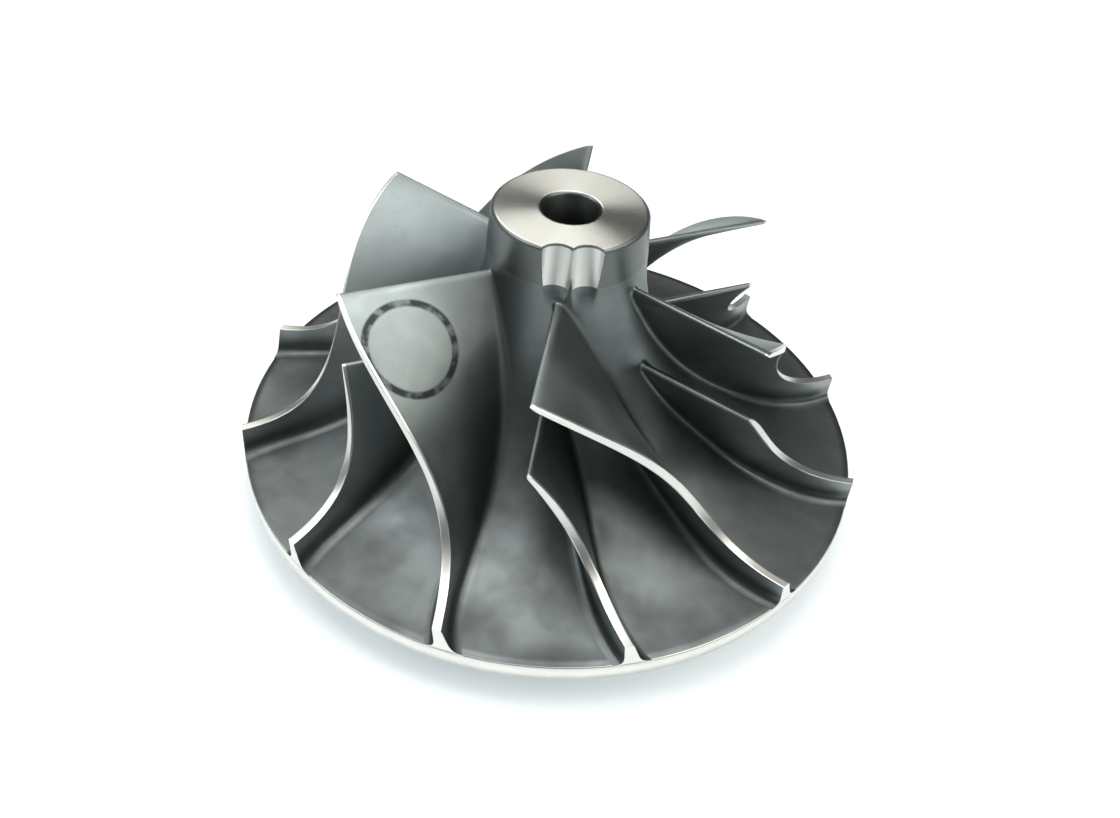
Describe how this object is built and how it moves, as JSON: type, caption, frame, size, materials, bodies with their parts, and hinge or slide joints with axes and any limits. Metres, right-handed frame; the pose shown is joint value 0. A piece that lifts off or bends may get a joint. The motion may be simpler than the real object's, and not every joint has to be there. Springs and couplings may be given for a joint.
{
  "type": "compressor wheel",
  "caption": "Turbocharger compressor wheel in bare cast aluminium, with full and splitter blades on a flared hub and a plain shaft bore.",
  "frame": {"origin": "centre of the shaft bore at the back boss face", "axes": "+Z along the bore, from the back boss to the nose"},
  "size_m": [0.076, 0.076, 0.0375],
  "materials": {
    "cast_aluminium": "as cast in the passages, turned on the nose face, blade tips and rim"
  },
  "bodies": {
    "root": {"compressor_wheel": "cast_aluminium"}
  },
  "joints": []
}
